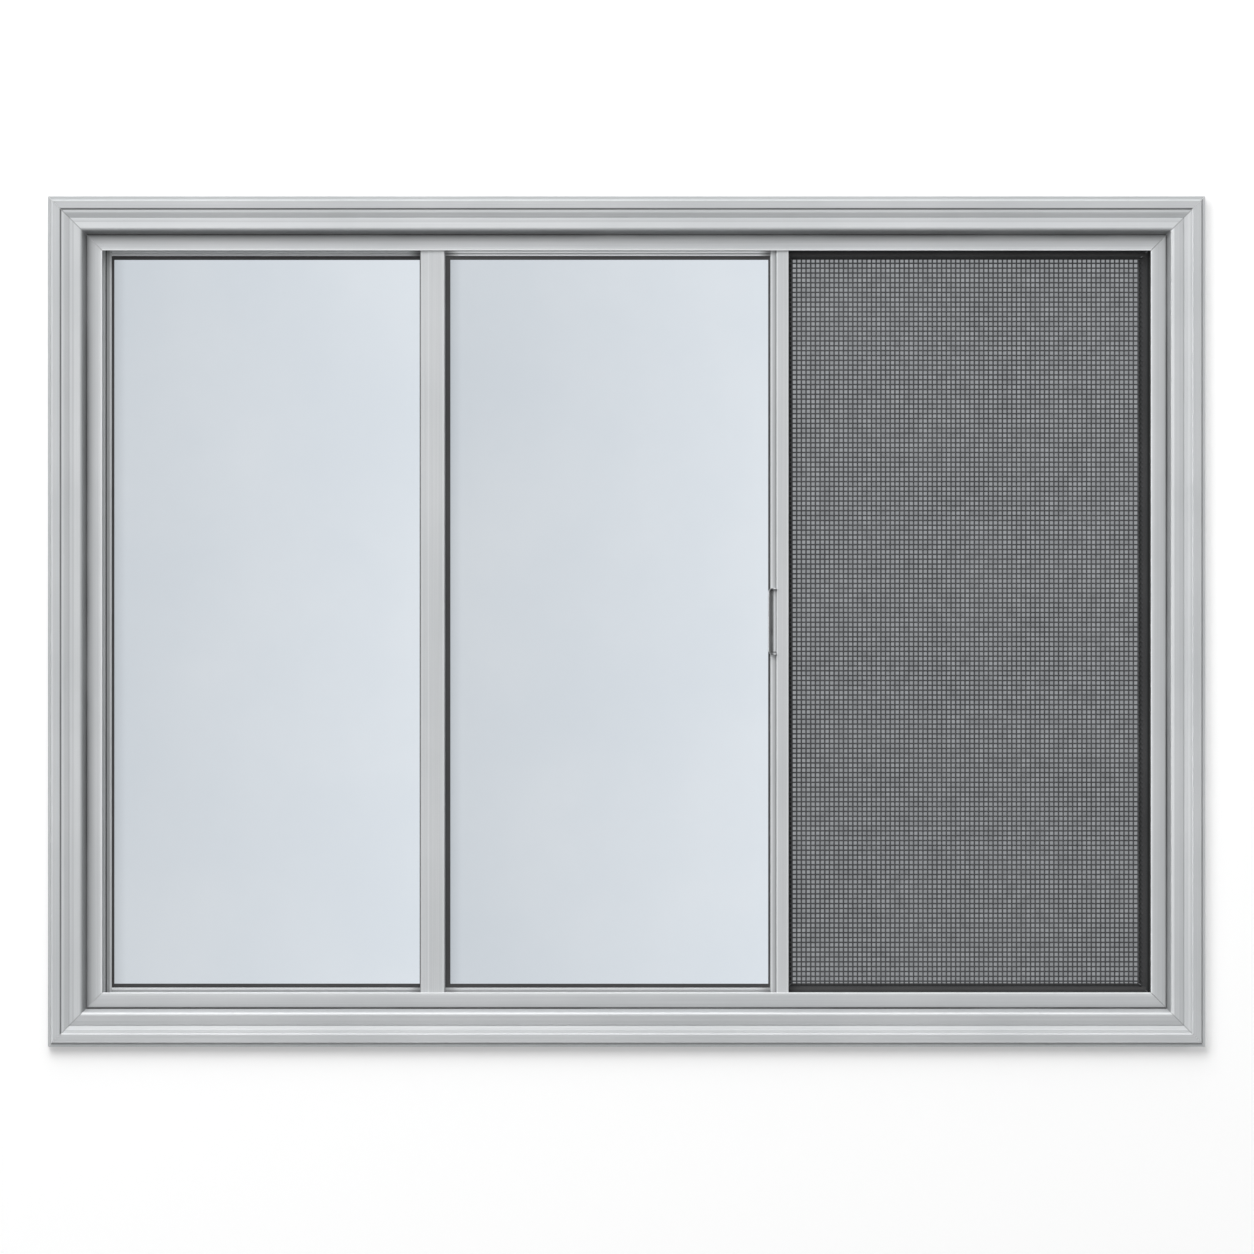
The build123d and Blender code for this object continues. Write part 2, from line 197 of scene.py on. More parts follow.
def speckle_group():
    """Scattered fine dust: a mask of small soft specks inside slow patches."""
    tree, given, out = start_group(
        "dust specks",
        [("Place", "NodeSocketVector", None), ("Size", "NodeSocketFloat", 700.0)],
        [("Mask", "NodeSocketFloat")],
    )
    specks = put(tree, "ShaderNodeTexNoise", Vector=given["Place"], Scale=given["Size"], Detail=2.0)
    patch = put(tree, "ShaderNodeTexNoise", Vector=given["Place"], Scale=7.0, Detail=4.0)
    dots = spread(tree, specks.outputs[0], 0.62, 0.74)
    patches = spread(tree, patch.outputs[0], 0.4, 0.7)
    plug(tree, out.inputs["Mask"], math_step(tree, "MULTIPLY", dots, patches))
    return tree


def pick_value(tree, choice, level, upright):
    """Value for a level bar where the choice is 0, and for an upright bar where it is 1."""
    made = put(tree, "ShaderNodeMix", {"data_type": "FLOAT"})
    plug(tree, made.inputs[0], choice)
    plug(tree, made.inputs[2], level)
    plug(tree, made.inputs[3], upright)
    return made.outputs[0]


def frame_profile_group():
    """How far a point lies inward of the frame's edge and along its bar, and which bars take painted shade
    or painted highlights.

    The head and the left jamb are the shaded sides, and the sill is the side lit from above.
    """
    tree, given, out = start_group(
        "frame profile",
        [("Place", "NodeSocketVector", None)],
        [("Inward", "NodeSocketFloat"), ("Drawn", "NodeSocketVector"), ("Front", "NodeSocketFloat"),
         ("Joint", "NodeSocketFloat"), ("Shaded sides", "NodeSocketFloat"), ("Lit sill", "NodeSocketFloat")],
    )
    split = put(tree, "ShaderNodeSeparateXYZ", Vector=given["Place"])
    x, y, z = split.outputs
    from_side = math_step(tree, "SUBTRACT", WINDOW_WIDTH / 2, math_step(tree, "ABSOLUTE", x))
    off_middle = math_step(tree, "ABSOLUTE", math_step(tree, "SUBTRACT", z, WINDOW_HEIGHT / 2))
    from_end = math_step(tree, "SUBTRACT", WINDOW_HEIGHT / 2, off_middle)
    inward = math_step(tree, "MINIMUM", from_side, from_end)
    upright = math_step(tree, "LESS_THAN", from_side, from_end)
    drawn = put(tree, "ShaderNodeCombineXYZ", X=pick_value(tree, upright, x, z), Y=inward, Z=y)
    plug(tree, out.inputs["Inward"], inward)
    plug(tree, out.inputs["Drawn"], drawn.outputs[0])
    plug(tree, out.inputs["Front"], spread(tree, y, *FACE_BACK_Y, 1.0, 0.0))
    off_joint = math_step(tree, "ABSOLUTE", math_step(tree, "SUBTRACT", from_side, from_end))
    plug(tree, out.inputs["Joint"], spread(tree, off_joint, *JOINT_HALF_WIDTH, 1.0, 0.0))
    # Which bars the lamps leave in shade and which they light, for painted shade and painted highlights
    upper_half = math_step(tree, "GREATER_THAN", z, WINDOW_HEIGHT / 2)
    left_half = math_step(tree, "LESS_THAN", x, 0.0)
    plug(tree, out.inputs["Shaded sides"], pick_value(tree, upright, upper_half, left_half))
    lower_half = math_step(tree, "SUBTRACT", 1.0, upper_half)
    plug(tree, out.inputs["Lit sill"], pick_value(tree, upright, lower_half, 0.0))
    return tree


DIE_LINES = die_line_group()
DUST = speckle_group()
FRAME_PROFILE = frame_profile_group()


# Finishes

FRAME_TONES = (linear(193, 196, 198), linear(208, 210, 212))
SASH_TONES = (linear(199, 202, 204), linear(213, 215, 217))
PULL_TONES = (linear(184, 186, 188), linear(200, 202, 204))
GLASS_TONES = (linear(206, 213, 220), linear(211, 217, 223))
GLASS_SHADOW = linear(225, 230, 235)
PILE_TONES = (linear(48, 48, 50), linear(98, 98, 100))
# Colours of painted highlights and painted shade; the frame's shade grey also colours its dark mitre
# joints
FRAME_HIGHLIGHT_COLOUR = linear(238, 240, 242)
SASH_HIGHLIGHT_COLOUR = linear(240, 242, 244)
FRAME_SHADE_AND_JOINT_GREY = linear(84, 85, 86)
SASH_SHADE_GREY = linear(70, 71, 72)
RAIL_END_SHADE_GREY = linear(52, 53, 54)
PULL_SHADE_GREY = linear(44, 45, 46)
SCREEN_SHADE = linear(8, 8, 8)
METAL_DUST = linear(150, 148, 144)
DARK_DUST = linear(120, 118, 114)
# Lighter grey of the painted highlights along the screen spline
SPLINE_HIGHLIGHT_GREY = linear(110, 110, 109)
METAL_SHARE = 0.14
SATIN_ROUGHNESS = (0.3, 0.42)

# Millimetres inward from the frame's outer edge, and how strongly painted shade darkens it or a painted
# highlight lightens it
GROOVE_SHADE = [(2.9, 0.0), (3.7, 0.45), (4.6, 0.0), (27.0, 0.0), (27.7, 0.14), (28.5, 0.12), (28.9, 0.0),
           (49.2, 0.0), (50.0, 1.0), (51.3, 1.0), (52.4, 0.36), (54.0, 0.22), (57.0, 0.13), (66.0, 0.0)]
INNER_WALL_SHADE = [(42.2, 0.0), (43.2, 0.14), (44.5, 0.34), (46.0, 0.5), (48.0, 0.58), (50.2, 0.62),
               (51.0, 0.0)]
SHADED_SIDE_SHADE = [(0.0, 0.14), (2.6, 0.14), (3.4, 0.0), (15.0, 0.0), (16.0, 0.76), (17.1, 0.76),
                   (18.2, 0.0), (31.4, 0.0), (32.4, 0.1), (33.6, 0.1), (34.6, 0.0), (51.4, 0.0),
                   (52.3, 0.78), (53.5, 0.68), (54.8, 0.56), (57.0, 0.39), (60.0, 0.21), (64.0, 0.0)]
EDGE_HIGHLIGHTS = [(4.3, 0.0), (5.2, 0.55), (6.6, 0.0), (18.2, 0.0), (19.2, 0.4), (20.0, 0.32), (20.8, 0.1),
              (21.6, 0.0), (33.4, 0.0), (35.0, 0.15), (41.5, 0.15), (42.6, 0.0),
              (66.0, 0.0), (69.4, 0.4), (70.4, 1.3), (71.5, 1.3)]
RIGHT_JAMB_HIGHLIGHTS = [(19.6, 0.0), (20.6, 0.5), (21.4, 0.45), (22.2, 0.27), (23.0, 0.0),
                    (39.4, 0.0), (40.6, 0.42), (41.9, 0.86), (43.3, 0.92), (44.0, 0.2), (44.5, 0.0)]
SILL_HIGHLIGHTS = [(16.6, 0.0), (17.5, 0.6), (18.9, 0.5), (19.5, 0.0), (22.0, 0.0), (22.8, 0.2), (23.6, 0.0),
              (41.2, 0.0), (42.6, 0.36), (43.6, 0.7), (44.4, 0.6), (45.4, 0.3), (46.2, 0.0)]


def satin(tree, shader, metal, lines):
    """Satin metal: its colour, and a sheen that follows the die lines."""
    plug(tree, shader.inputs["Base Color"], metal)
    shader.inputs["Metallic"].default_value = METAL_SHARE
    plug(tree, shader.inputs["Roughness"], spread(tree, lines, 0.0, 1.0, *SATIN_ROUGHNESS))


def raise_lines(tree, shader, height, strength, distance=0.0003):
    """Fine relief on a finish."""
    bump = put(tree, "ShaderNodeBump", Strength=strength, Distance=distance, Height=height)
    plug(tree, shader.inputs["Normal"], bump.outputs[0])


def frame_aluminium():
    """Satin aluminium of the outer frame with dark mitre joints and dust specks, painted shade in the
    grooves, on the inner walls and over the shaded head and left jamb, and painted highlights along its
    edges.
    """
    material, tree, shader, place = start_material("satin frame aluminium")
    profile = place_group(tree, FRAME_PROFILE, Place=place)
    drawn = place_group(tree, DIE_LINES, Place=profile["Drawn"])
    dust = place_group(tree, DUST, Place=place)
    tone = math_step(tree, "ADD", math_step(tree, "MULTIPLY", drawn["Lines"], 0.45),
                     math_step(tree, "MULTIPLY", drawn["Clouds"], 0.55))
    metal = blend_colour(tree, tone, *FRAME_TONES)
    patchy = spread(tree, drawn["Clouds"], 0.0, 0.6, 0.8, 1.0)
    uneven = math_step(tree, "MULTIPLY", patchy, profile["Front"])

    def along_bar(stops, share=1.0):
        """Amount that follows the moulding's width, on a share of the bars."""
        amount = across(tree, profile["Inward"], MOULDING_WIDTH, stops)
        return math_step(tree, "MULTIPLY", math_step(tree, "MULTIPLY", amount, share), uneven)

    # Painted highlights go on the right jamb and the sill; painted wall shade is weaker on the sill, which
    # is lit from above
    lit_sides = math_step(tree, "SUBTRACT", 1.0, profile["Shaded sides"])
    right_side = math_step(tree, "SUBTRACT", lit_sides, profile["Lit sill"])
    wall_shade_share = math_step(tree, "SUBTRACT", 1.0, math_step(tree, "MULTIPLY", profile["Lit sill"], 0.75))
    # Painted highlights along the edges, with more on the right jamb and the sill
    painted_highlight = math_step(tree, "MAXIMUM", along_bar(EDGE_HIGHLIGHTS), along_bar(RIGHT_JAMB_HIGHLIGHTS, right_side))
    painted_highlight = math_step(tree, "MAXIMUM", painted_highlight, along_bar(SILL_HIGHLIGHTS, profile["Lit sill"]))
    metal = blend_colour(tree, painted_highlight, metal, FRAME_HIGHLIGHT_COLOUR)
    # Painted shade in the grooves, on the inner walls and over the shaded sides
    painted_shade = math_step(tree, "MAXIMUM", along_bar(GROOVE_SHADE), along_bar(INNER_WALL_SHADE, wall_shade_share))
    painted_shade = math_step(tree, "MAXIMUM", painted_shade, along_bar(SHADED_SIDE_SHADE, profile["Shaded sides"]))
    # The mitre joint is a real dark line, drawn in the painted shade's grey
    joint = math_step(tree, "MULTIPLY", math_step(tree, "MULTIPLY", profile["Joint"], 0.36), uneven)
    metal = blend_colour(tree, math_step(tree, "MAXIMUM", painted_shade, joint), metal, FRAME_SHADE_AND_JOINT_GREY)
    metal = blend_colour(tree, math_step(tree, "MULTIPLY", dust["Mask"], 0.12), metal, METAL_DUST)
    satin(tree, shader, metal, drawn["Lines"])
    raise_lines(tree, shader, drawn["Lines"], 0.12)
    return material


def bar_lines(tree, over, lines):
    """Soft lines along a bar, each (millimetres, half width, amount), summed and clamped."""
    total = None
    for middle, half, amount in lines:
        off = math_step(tree, "ABSOLUTE", math_step(tree, "SUBTRACT", over, middle / 1000))
        line = spread(tree, off, 0.0, half / 1000, amount, 0.0)
        total = line if total is None else math_step(tree, "ADD", total, line, clamp=True)
    return total


# Painted shade and painted highlight lines across the stiles in X and across the rails in Z, in
# millimetres, and painted shade at the rails' ends in X
STILE_SHADE = [(-685.6, 1.9, 0.95), (-682.6, 4.4, 0.5), (-677.6, 1.0, 0.7), (-271.1, 0.9, 0.5),
               (-239.4, 0.9, 0.3), (190.0, 0.8, 0.3), (193.8, 2.6, 0.2), (196.3, 2.2, 0.55)]
STILE_HIGHLIGHTS = [(-679.8, 0.9, 0.6), (-269.6, 1.1, 0.3), (-261.0, 1.0, 0.3), (-241.6, 1.2, 0.4),
                (191.2, 1.0, 0.7), (198.7, 1.0, 0.75), (211.9, 1.3, 0.5)]
RAIL_SHADE = [(73.6, 2.6, 0.55), (1044.4, 0.8, 0.15)]
RAIL_HIGHLIGHTS = [(77.0, 1.2, 0.4), (1046.4, 1.8, 0.9), (1042.4, 1.8, 0.9)]
RAIL_END_SHADE = [(-690.0, 14.0, 0.6), (-271.0, 20.0, 0.8), (-239.5, 24.0, 0.85), (189.0, 18.0, 0.8)]


def sash_aluminium(name, stretch, over_axis, shade, painted_highlight, ends=()):
    """Satin aluminium of the sash bars: die lines along the bar, painted shade in the corners and steps,
    and painted highlights along the edges.
    """
    material, tree, shader, place = start_material(name)
    drawn = place_group(tree, DIE_LINES, Place=place, Stretch=stretch)
    dust = place_group(tree, DUST, Place=place, Size=820.0)
    sides = put(tree, "ShaderNodeSeparateXYZ", Vector=place).outputs
    tone = math_step(tree, "ADD", math_step(tree, "MULTIPLY", drawn["Lines"], 0.5),
                     math_step(tree, "MULTIPLY", drawn["Clouds"], 0.5))
    metal = blend_colour(tree, tone, *SASH_TONES)
    # Painted highlight lines and painted shade lines across the bar
    metal = blend_colour(tree, bar_lines(tree, sides[over_axis], painted_highlight), metal, SASH_HIGHLIGHT_COLOUR)
    metal = blend_colour(tree, bar_lines(tree, sides[over_axis], shade), metal, SASH_SHADE_GREY)
    if ends:
        # Painted shade at the rails' ends beside the stiles, stronger on the upper rails
        high_up = spread(tree, sides[2], 0.2, 0.9, 0.6, 1.0)
        end_shade = math_step(tree, "MULTIPLY", bar_lines(tree, sides[0], ends), high_up)
        metal = blend_colour(tree, end_shade, metal, RAIL_END_SHADE_GREY)
    metal = blend_colour(tree, math_step(tree, "MULTIPLY", dust["Mask"], 0.1), metal, METAL_DUST)
    satin(tree, shader, metal, drawn["Lines"])
    raise_lines(tree, shader, drawn["Lines"], 0.12)
    return material


# Painted shade and painted highlight lines over the finger pull: across it in X, and painted shade at its
# ends in Z, in millimetres
PULL_SHADE = [(188.6, 1.8, 0.6), (191.5, 3.2, 1.0), (197.3, 1.4, 0.4)]
PULL_HIGHLIGHT = [(194.9, 1.2, 0.6)]
PULL_ENDS = [(519.4, 2.4, 0.75), (601.8, 1.5, 0.5)]


def pull_aluminium():
    """Satin aluminium of the finger pull, with patchy painted shade in its cup and at its ends, and a
    painted highlight on its ridge.
    """
    material, tree, shader, place = start_material("satin pull aluminium")
    drawn = place_group(tree, DIE_LINES, Place=place, Stretch=UPRIGHT_LINES)
    split = put(tree, "ShaderNodeSeparateXYZ", Vector=place).outputs
    patch_noise = put(tree, "ShaderNodeTexNoise", Vector=place, Scale=60.0, Detail=3.0)
    metal = blend_colour(tree, drawn["Lines"], *PULL_TONES)
    metal = blend_colour(tree, bar_lines(tree, split[0], PULL_HIGHLIGHT), metal, SASH_HIGHLIGHT_COLOUR)
    patchy = spread(tree, patch_noise.outputs[0], 0.3, 0.7, 0.85, 1.0)
    # Painted shade in the cup, made patchy, and at the pull's ends
    cup_shade = math_step(tree, "MULTIPLY", bar_lines(tree, split[0], PULL_SHADE), patchy)
    cup_shade = math_step(tree, "MAXIMUM", cup_shade, bar_lines(tree, split[2], PULL_ENDS))
    metal = blend_colour(tree, cup_shade, metal, PULL_SHADE_GREY)
    satin(tree, shader, metal, drawn["Lines"])
    return material


def window_glass():
    """Pale blue-grey float glass with a faint film on it; it lets lamp light through."""
    material, tree, shader, place = start_material("pale float glass")
    film = put(tree, "ShaderNodeTexNoise", Vector=place, Scale=3.2, Detail=4.0, Roughness=0.55)
    filmed = spread(tree, film.outputs[0], 0.3, 0.7)
    tint = blend_colour(tree, filmed, *GLASS_TONES)
    plug(tree, shader.inputs["Base Color"], tint)
    shader.inputs["Transmission Weight"].default_value = 1.0
    shader.inputs["IOR"].default_value = 1.45
    plug(tree, shader.inputs["Roughness"], spread(tree, film.outputs[0], 0.35, 0.75, 0.0, 0.05))
    clear = put(tree, "ShaderNodeBsdfTransparent", Color=GLASS_SHADOW)
    path = tree.nodes.new("ShaderNodeLightPath")
    pick = tree.nodes.new("ShaderNodeMixShader")
    plug(tree, pick.inputs[0], path.outputs["Is Shadow Ray"])
    tree.links.new(shader.outputs[0], pick.inputs[1])
    tree.links.new(clear.outputs[0], pick.inputs[2])
    tree.links.new(pick.outputs[0], tree.nodes["Material Output"].inputs["Surface"])
    return material


def dark_finish(name, dark, light, roughness, grain, lift, shine=0.5, shades=(), highlight_lines=()):
    """Matt dark finish with a fine grain, for rubber, painted bars and strands.

    Both line arguments are (axis, lines): the shades are painted shade lines, which go darker, and the
    others painted highlight lines, which go lighter grey.
    """
    material, tree, shader, place = start_material(name)
    fine = put(tree, "ShaderNodeTexNoise", Vector=place, Scale=grain, Detail=3.0, Roughness=0.6)
    slow = put(tree, "ShaderNodeTexNoise", Vector=place, Scale=9.0, Detail=3.0)
    dust = place_group(tree, DUST, Place=place, Size=900.0)
    tone = math_step(tree, "ADD", math_step(tree, "MULTIPLY", fine.outputs[0], 0.5),
                     math_step(tree, "MULTIPLY", slow.outputs[0], 0.5))
    colour = blend_colour(tree, spread(tree, tone, 0.35, 0.65), dark, light)
    dusted = math_step(tree, "MULTIPLY", dust["Mask"], 0.25)
    colour = blend_colour(tree, dusted, colour, DARK_DUST)
    sides = put(tree, "ShaderNodeSeparateXYZ", Vector=place).outputs
    # Painted highlight lines, then painted shade lines
    for axis, lines in highlight_lines:
        colour = blend_colour(tree, bar_lines(tree, sides[axis], lines), colour, SPLINE_HIGHLIGHT_GREY)
    for axis, lines in shades:
        colour = blend_colour(tree, bar_lines(tree, sides[axis], lines), colour, SCREEN_SHADE)
    plug(tree, shader.inputs["Base Color"], colour)
    plug(tree, shader.inputs["Roughness"], spread(tree, fine.outputs[0], 0.3, 0.7, *roughness))
    shader.inputs["Specular IOR Level"].default_value = shine
    raise_lines(tree, shader, fine.outputs[0], lift)
    return material


def pile_brush():
    """Short dense fibres of the brush seals."""
    material, tree, shader, place = start_material("grey brush pile")
    drawn = put(tree, "ShaderNodeVectorMath", {"operation": "MULTIPLY"})
    plug(tree, drawn.inputs[0], place)
    drawn.inputs[1].default_value = (2600.0, 180.0, 2600.0)
    fibre = put(tree, "ShaderNodeTexNoise", Vector=drawn.outputs[0], Scale=1.0, Detail=2.0)
    fibres = spread(tree, fibre.outputs[0], 0.3, 0.7)
    colour = blend_colour(tree, fibres, *PILE_TONES)
    plug(tree, shader.inputs["Base Color"], colour)
    shader.inputs["Roughness"].default_value = 0.9
    shader.inputs["Sheen Weight"].default_value = 0.3
    raise_lines(tree, shader, fibre.outputs[0], 0.6, 0.0006)
    return material


# Painted shade lines beside the screen's bars and painted highlight lines along its spline: stiles in X,
# rails in Z, in millimetres
SCREEN_STILE_SHADE = [(215.8, 2.2, 0.95), (675.9, 1.8, 0.7), (687.6, 2.6, 0.9)]
SCREEN_RAIL_SHADE = [(73.6, 1.8, 0.5), (81.0, 2.6, 0.8), (1038.2, 2.4, 0.9), (1046.8, 2.0, 0.85)]
STRAND_STILE_SHADE = [(677.0, 3.0, 0.9)]
STRAND_RAIL_SHADE = [(81.0, 2.8, 0.9), (1038.0, 2.8, 0.95)]
SPLINE_HIGHLIGHT_LINES = [(76.8, 3.0, 0.25), (1042.2, 3.4, 0.5)]
RUBBER_ROUGHNESS = (0.55, 0.75)
PAINT_ROUGHNESS = (0.45, 0.6)
RUBBER_GRAIN = 1600.0
PAINT_GRAIN = 1100.0
STRAND_GRAIN = 45.0
MATT_SHINE = 0.28

FRAME_METAL = frame_aluminium()
STILE_METAL = sash_aluminium("satin stile aluminium", UPRIGHT_LINES, 0, STILE_SHADE, STILE_HIGHLIGHTS)
RAIL_METAL = sash_aluminium("satin rail aluminium", LEVEL_LINES, 2, RAIL_SHADE, RAIL_HIGHLIGHTS, RAIL_END_SHADE)
PULL_METAL = pull_aluminium()
GLASS = window_glass()
RUBBER = dark_finish("black glazing rubber", linear(42, 42, 43), linear(58, 58, 59),
                     RUBBER_ROUGHNESS, RUBBER_GRAIN, 0.25)
SPLINE = dark_finish("black screen spline", linear(56, 56, 57), linear(69, 69, 70),
                     RUBBER_ROUGHNESS, RUBBER_GRAIN, 0.25, MATT_SHINE, highlight_lines=[(2, SPLINE_HIGHLIGHT_LINES)])
CHARCOAL_STILE = dark_finish("charcoal screen stile paint", linear(49, 50, 51), linear(61, 62, 63),
                             PAINT_ROUGHNESS, PAINT_GRAIN, 0.15, MATT_SHINE, [(0, SCREEN_STILE_SHADE)])
CHARCOAL_RAIL = dark_finish("charcoal screen rail paint", linear(66, 67, 68), linear(84, 85, 86),
                            PAINT_ROUGHNESS, PAINT_GRAIN, 0.15, MATT_SHINE, [(2, SCREEN_RAIL_SHADE)])
STRAND = dark_finish("charcoal coated strand", linear(64, 65, 67), linear(80, 81, 83),
                     PAINT_ROUGHNESS, STRAND_GRAIN, 0.0, MATT_SHINE,
                     [(0, STRAND_STILE_SHADE), (2, STRAND_RAIL_SHADE)])
PILE = pile_brush()


def dress(node_name, material):
    """Gives a CAD node its finish."""
    slots = nodes[node_name].data.materials
    slots.clear()
    slots.append(material)


for part in nodes:
    if part.startswith("frame_"):
        dress(part, FRAME_METAL)
    elif part.endswith("_glass"):
        dress(part, GLASS)
    elif part.endswith("_gasket"):
        dress(part, RUBBER)
    elif part.endswith("_spline"):
        dress(part, SPLINE)
    elif part.startswith("screen_"):
        dress(part, CHARCOAL_RAIL if part.endswith("_rail") else CHARCOAL_STILE)
    elif part.endswith("_pull"):
        dress(part, PULL_METAL)
    elif part.endswith("_rail"):
        dress(part, RAIL_METAL)
    else:
        dress(part, STILE_METAL)


# Woven insect mesh

STRAND_WIDTH = 0.0020
STRAND_THICK = 0.00055
WEAVE_RISE = 0.0004
COLUMN_PITCH = 0.00616
ROW_PITCH = 0.00639
CLOTH_SHIFT = (0.0030, 0.0, 0.0022)
STRAND_SMOOTH = 50
MERGE_DISTANCE = 1e-5


def pick_vertices(mesh, wanted):
    """Selects, in edit mode, the vertices whose place the test accepts."""
    bpy.ops.object.mode_set(mode="OBJECT")
    for vertex in mesh.vertices:
        vertex.select = wanted(vertex.co)
    for edge in mesh.edges:
        edge.select = all(mesh.vertices[i].select for i in edge.vertices)
    for face in mesh.polygons:
        face.select = all(mesh.vertices[i].select for i in face.vertices)
    bpy.ops.object.mode_set(mode="EDIT")


def repeat_piece(piece, offset, count, merge=False):
    """Copies a piece in a row and keeps the copies."""
    row = piece.modifiers.new("repeat", "ARRAY")
    row.use_relative_offset = False
    row.use_constant_offset = True
    row.constant_offset_displace = offset
    row.count = count
    row.use_merge_vertices = merge
    row.merge_threshold = MERGE_DISTANCE
    bpy.ops.object.modifier_apply(modifier=row.name)


def join_pieces(pieces):
    """Joins pieces into the first of them."""
    bpy.ops.object.select_all(action="DESELECT")
    for piece in pieces:
        piece.select_set(True)
    bpy.context.view_layer.objects.active = pieces[0]
    bpy.ops.object.join()
    return bpy.context.active_object


def close_surface(angle):
    """Turns the active piece's faces outward and shades it smooth below an angle in degrees."""
    bpy.ops.object.mode_set(mode="EDIT")
    bpy.ops.mesh.select_all(action="SELECT")
    bpy.ops.mesh.normals_make_consistent(inside=False)
    bpy.ops.object.mode_set(mode="OBJECT")
    bpy.ops.object.shade_smooth_by_angle(angle=math.radians(angle))


def trim_cloth(run_axis, start, end):
    """Cuts the strands off square at the cloth's two edges and closes their ends."""
    bpy.ops.object.mode_set(mode="EDIT")
    for edge, outward in ((start, -1), (end, 1)):
        place, normal = [0, 0, 0], [0, 0, 0]
        place[run_axis], normal[run_axis] = edge, outward
        bpy.ops.mesh.select_all(action="SELECT")
        bpy.ops.mesh.bisect(plane_co=place, plane_no=normal, use_fill=True, clear_outer=True)
    bpy.ops.object.mode_set(mode="OBJECT")


def drop_strands(cloth, cross_axis, first, pitch, start, end):
    """Takes away the strands that lie past the cloth's edges."""
    half = STRAND_WIDTH / 2

    def past_edge(co):
        middle = first + pitch * round((co[cross_axis] - first) / pitch)
        return middle - half < start or middle + half > end

    pick_vertices(cloth.data, past_edge)
    bpy.ops.mesh.delete(type="VERT")
    bpy.ops.object.mode_set(mode="OBJECT")


def woven_strand(start, run_axis, pitch_along, rise):
    """One strand at two crossings, under one and over the other, with its ends left open."""
    bpy.ops.object.select_all(action="DESELECT")
    bpy.ops.mesh.primitive_cube_add(size=1.0, location=(0, 0, 0))
    strand = bpy.context.active_object
    bpy.ops.object.mode_set(mode="EDIT")
    bpy.ops.mesh.select_all(action="SELECT")
    size = [STRAND_WIDTH, STRAND_THICK, STRAND_WIDTH]
    size[run_axis] = 2 * pitch_along
    bpy.ops.transform.resize(value=size)
    bpy.ops.transform.translate(value=start)
    normal = [0, 0, 0]
    normal[run_axis] = 1
    for step in (-0.5, 0.5):
        cut = list(start)
        cut[run_axis] += step * pitch_along
        bpy.ops.mesh.select_all(action="SELECT")
        bpy.ops.mesh.bisect(plane_co=cut, plane_no=normal)
    for step in (-0.5, 0.5):
        at = start[run_axis] + step * pitch_along
        pick_vertices(strand.data, lambda co: abs(co[run_axis] - at) < 0.2 * pitch_along)
        bpy.ops.transform.translate(value=(0, 2 * step * rise, 0))
    for end in (start[run_axis] - pitch_along, start[run_axis] + pitch_along):
        pick_vertices(strand.data, lambda co: abs(co[run_axis] - end) < MERGE_DISTANCE)
        bpy.ops.mesh.delete(type="ONLY_FACE")
    bpy.ops.object.mode_set(mode="OBJECT")
    return strand


def woven_strands(name, upright, pitch_across, pitch_along):
    """All strands of one direction: two neighbours over two crossings, repeated both ways."""
    low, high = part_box("screen_mesh")
    middle = [(low[i] + high[i]) / 2 + CLOTH_SHIFT[i] for i in range(3)]
    run_axis, cross_axis = (2, 0) if upright else (0, 2)
    cells_along = 2 * math.floor((high[run_axis] - low[run_axis]) / (2 * pitch_along)) + 2
    cells_across = 2 * math.floor((high[cross_axis] - low[cross_axis]) / (2 * pitch_across)) + 2
    rise = WEAVE_RISE if upright else -WEAVE_RISE
    pair = []
    for neighbour in (0, 1):
        start = list(middle)
        start[cross_axis] += pitch_across * (neighbour + 0.5 - cells_across / 2)
        start[run_axis] += pitch_along * (1 - cells_along / 2)
        pair.append(woven_strand(start, run_axis, pitch_along, rise if neighbour else -rise))
    cloth = join_pieces(pair)
    cloth.name = cloth.data.name = name
    for axis, count, step in ((run_axis, cells_along // 2, 2 * pitch_along),
                              (cross_axis, cells_across // 2, 2 * pitch_across)):
        offset = [0, 0, 0]
        offset[axis] = step
        repeat_piece(cloth, offset, count, merge=axis == run_axis)
    trim_cloth(run_axis, low[run_axis], high[run_axis])
    first = middle[cross_axis] + pitch_across * (0.5 - cells_across / 2)
    drop_strands(cloth, cross_axis, first, pitch_across, low[cross_axis], high[cross_axis])
    close_surface(STRAND_SMOOTH)
    cloth.data.materials.append(STRAND)
    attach(cloth, "root")
    return cloth


upright_strands = woven_strands("screen_mesh_upright_strands", True, COLUMN_PITCH, ROW_PITCH)
woven_strands("screen_mesh_level_strands", False, ROW_PITCH, COLUMN_PITCH)
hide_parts("screen_mesh")


# Brush seals between the overlapping stiles

CARRIER_THICK = 0.0010
CARRIER_LIP = 0.0007
CARRIER_GROOVE = 0.0004
TUFT_ROOT = 0.00095
TUFT_TIP = 0.00050
TUFT_PITCH = 0.0016
ROW_SPACING = 0.0019
TIP_GAP = 0.0001
BRUSH_SMOOTH = 35
# How far each tuft of a repeated group of six leans in X and Z, and how much shorter it is, in millimetres
TUFT_LEAN = [(0.25, 0.3, 0.0), (-0.3, 0.1, 0.25), (0.1, -0.35, 0.1), (-0.15, 0.35, 0.2),
             (0.3, -0.2, 0.0), (-0.2, -0.3, 0.3)]


